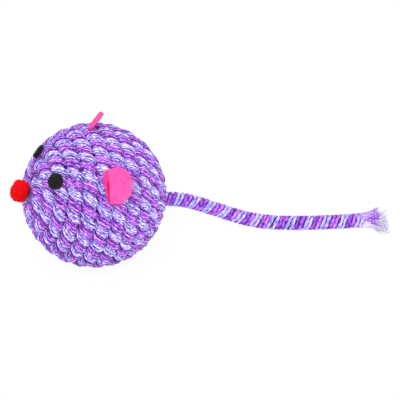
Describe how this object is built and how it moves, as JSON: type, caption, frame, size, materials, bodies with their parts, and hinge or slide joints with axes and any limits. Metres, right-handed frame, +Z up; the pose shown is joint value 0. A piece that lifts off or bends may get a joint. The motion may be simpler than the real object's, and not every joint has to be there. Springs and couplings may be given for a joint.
{
  "type": "catnip mouse",
  "caption": "Ball-shaped cat toy mouse wound with two-tone rope, with felt eyes and folding felt ears, a pom-pom nose, a frayed rope tail and catnip in a vented core.",
  "frame": {"origin": "middle of the small flat under the ball that it rests on", "axes": "+Z up, -X the way the nose points, +X along the tail, -Y the mouse's left side"},
  "size_m": [0.1441, 0.0554, 0.0595],
  "materials": {
    "rope_yarn": "twisted two-tone yarn",
    "core_plastic": "moulded",
    "dried_catnip": "loose dried leaf",
    "hot_melt": "smooth, milky",
    "red_pompom": "cut pile",
    "black_felt": "pressed felt",
    "pink_felt": "pressed felt",
    "white_filler": "loose fibre"
  },
  "bodies": {
    "ball": {"rope_winding": "rope_yarn", "core_front_half": "core_plastic", "core_rear_half": "core_plastic", "catnip_fill": "dried_catnip", "nose_glue": "hot_melt", "nose_pompom": "red_pompom", "eye_left": "black_felt", "eye_left_glue": "hot_melt", "eye_right": "black_felt", "eye_right_glue": "hot_melt", "ear_left_tab": "pink_felt", "ear_left_glue": "hot_melt", "ear_right_tab": "pink_felt", "ear_right_glue": "hot_melt"},
    "ear_left": {"ear_left_flap": "pink_felt"},
    "ear_right": {"ear_right_flap": "pink_felt"},
    "tail_root": {"tail_root_stretch": "rope_yarn"},
    "tail_tip": {"tail_tip_stretch": "rope_yarn", "tail_frayed_yarn": "rope_yarn", "tail_frayed_filler": "white_filler"}
  },
  "joints": [
    {"name": "ear_left_fold", "type": "hinge", "parent": "ball", "child": "ear_left", "pos_m": [0.00217, -0.01816, 0.04982], "axis": [0.1719, 0.7787, 0.6034], "range_deg": [-66, 29], "stiffness_Nm_per_rad": 0.0002},
    {"name": "ear_right_fold", "type": "hinge", "parent": "ball", "child": "ear_right", "pos_m": [0.00228, 0.01328, 0.05296], "axis": [0.4029, 0.8, -0.4445], "range_deg": [-53, 40], "stiffness_Nm_per_rad": 0.0002},
    {"name": "tail_sway", "type": "hinge", "parent": "ball", "child": "tail_root", "pos_m": [0.03303, 0, 0.01563], "axis": [0, 0, 1], "range_deg": [-60, 60]},
    {"name": "tail_lift", "type": "hinge", "parent": "tail_root", "child": "tail_tip", "pos_m": [0.07503, -0.0113, 0.0029], "axis": [-0.2539, -0.9672, 0], "range_deg": [0, 75]}
  ]
}
